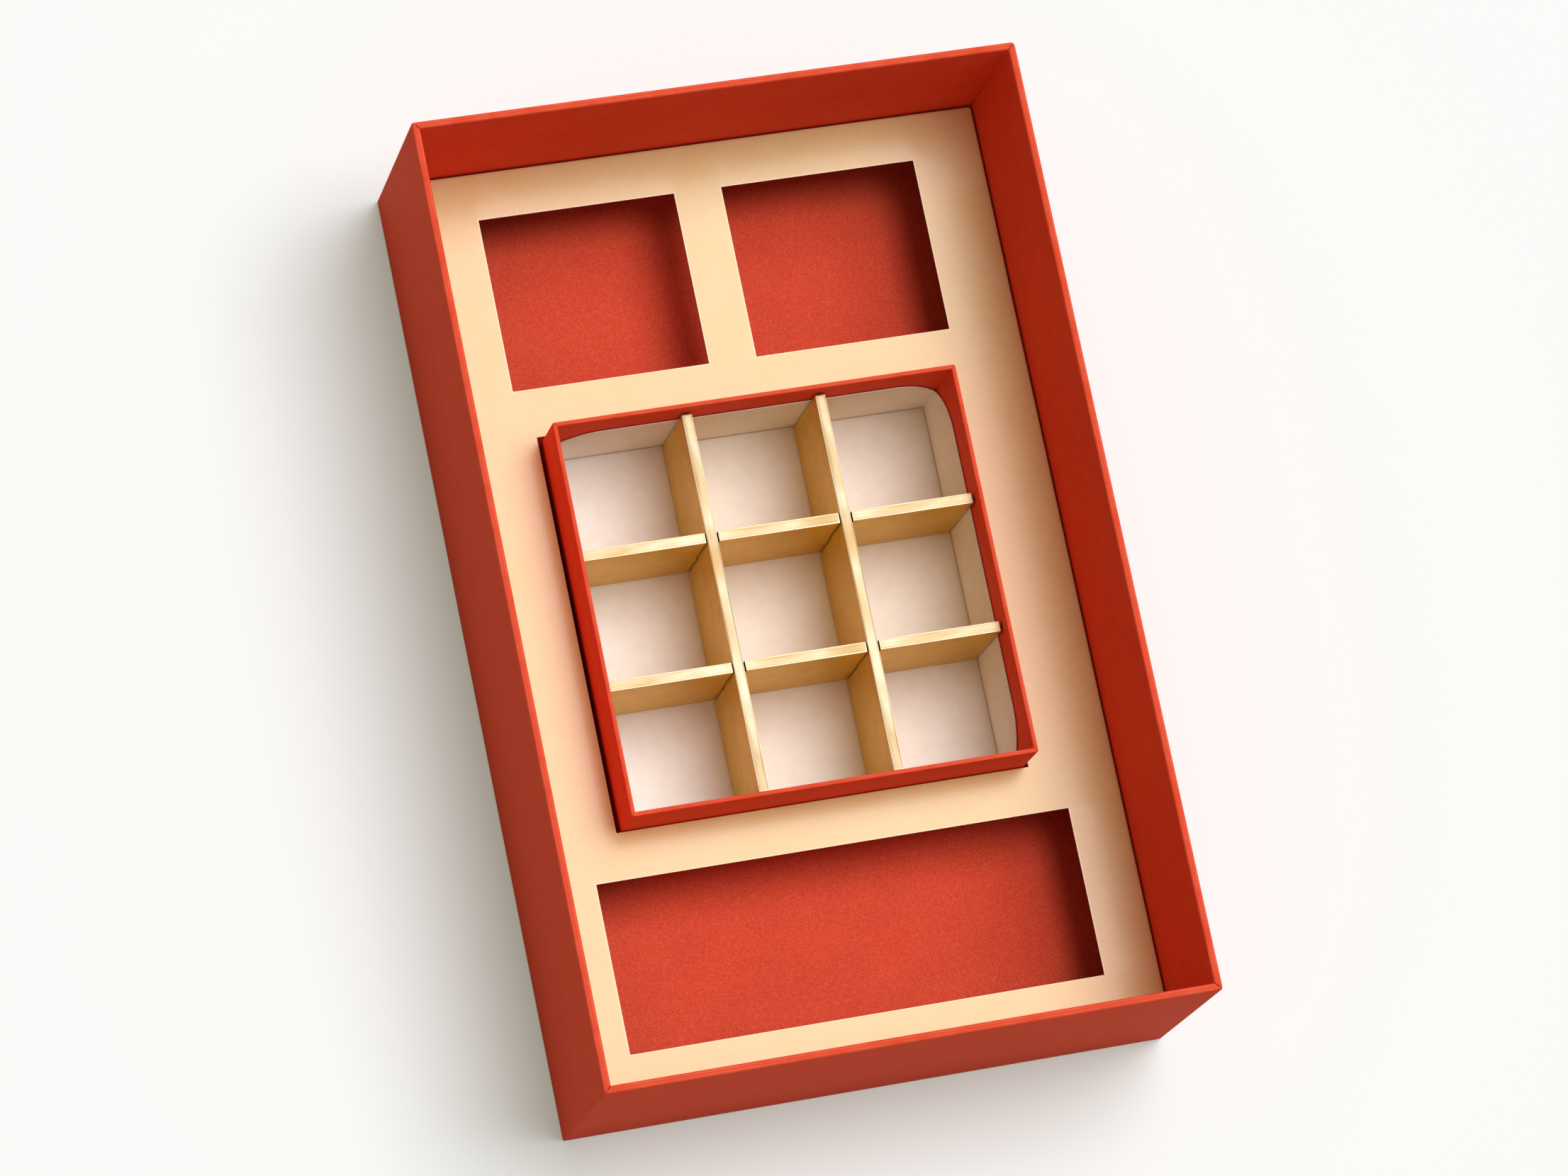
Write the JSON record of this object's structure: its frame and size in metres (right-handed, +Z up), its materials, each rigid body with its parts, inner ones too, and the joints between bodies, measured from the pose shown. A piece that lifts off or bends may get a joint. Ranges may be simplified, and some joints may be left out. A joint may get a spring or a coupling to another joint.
{
  "type": "hamper box",
  "caption": "Open rigid gift box in red paper, with a windowed cream-gold platform that lifts out and a lift-out tray holding a paper liner and a grid of gold dividers.",
  "frame": {"origin": "middle of the underside of the box", "axes": "+X to the right along the short side, +Y to the back along the long side, +Z up out of the open box"},
  "size_m": [0.2, 0.316, 0.08],
  "materials": {
    "red_wrapping_paper": "matt coated red wrapping paper",
    "red_lining_paper": "matt red lining paper",
    "red_grained_paper": "red paper embossed with a fine leather grain",
    "greyboard": "raw recycled greyboard",
    "stay_paper": "gummed kraft paper",
    "cream_gold_card": "satin pearl card in cream gold",
    "pale_liner_paper": "uncoated off-white paper",
    "gold_paper_board": "board covered with brushed gold paper"
  },
  "bodies": {
    "box_shell": {"base_board": "greyboard", "board_left": "greyboard", "board_right": "greyboard", "board_back": "greyboard", "board_front": "greyboard", "stay_back_left": "stay_paper", "stay_back_right": "stay_paper", "stay_front_left": "stay_paper", "stay_front_right": "stay_paper", "wrap_left": "red_wrapping_paper", "wrap_right": "red_wrapping_paper", "wrap_back": "red_wrapping_paper", "wrap_front": "red_wrapping_paper", "base_sheet": "red_wrapping_paper", "lining_left": "red_lining_paper", "lining_right": "red_lining_paper", "lining_back": "red_lining_paper", "lining_front": "red_lining_paper", "floor_lining": "red_grained_paper"},
    "platform": {"platform_card": "cream_gold_card"},
    "tray": {"tray_base_board": "greyboard", "tray_board_left": "greyboard", "tray_board_right": "greyboard", "tray_board_back": "greyboard", "tray_board_front": "greyboard", "tray_stay_back_left": "stay_paper", "tray_stay_back_right": "stay_paper", "tray_stay_front_left": "stay_paper", "tray_stay_front_right": "stay_paper", "tray_wrap_left": "red_wrapping_paper", "tray_wrap_right": "red_wrapping_paper", "tray_wrap_back": "red_wrapping_paper", "tray_wrap_front": "red_wrapping_paper", "tray_base_sheet": "red_wrapping_paper"},
    "liner": {"liner": "pale_liner_paper"},
    "cross_strips": {"cross_strip_back": "gold_paper_board", "cross_strip_front": "gold_paper_board"},
    "long_strip_left": {"long_strip_left": "gold_paper_board"},
    "long_strip_right": {"long_strip_right": "gold_paper_board"}
  },
  "joints": [
    {"name": "platform_lift", "type": "slide", "parent": "box_shell", "child": "platform", "axis": [0, 0, 1], "range_m": [0, 0.08]},
    {"name": "tray_lift", "type": "slide", "parent": "box_shell", "child": "tray", "axis": [0, 0, 1], "range_m": [0, 0.08]},
    {"name": "liner_lift", "type": "slide", "parent": "tray", "child": "liner", "axis": [0, 0, 1], "range_m": [0, 0.045]},
    {"name": "cross_strips_lift", "type": "slide", "parent": "liner", "child": "cross_strips", "axis": [0, 0, 1], "range_m": [0, 0.045]},
    {"name": "long_strip_left_lift", "type": "slide", "parent": "cross_strips", "child": "long_strip_left", "axis": [0, 0, 1], "range_m": [0, 0.04]},
    {"name": "long_strip_right_lift", "type": "slide", "parent": "cross_strips", "child": "long_strip_right", "axis": [0, 0, 1], "range_m": [0, 0.04]}
  ]
}
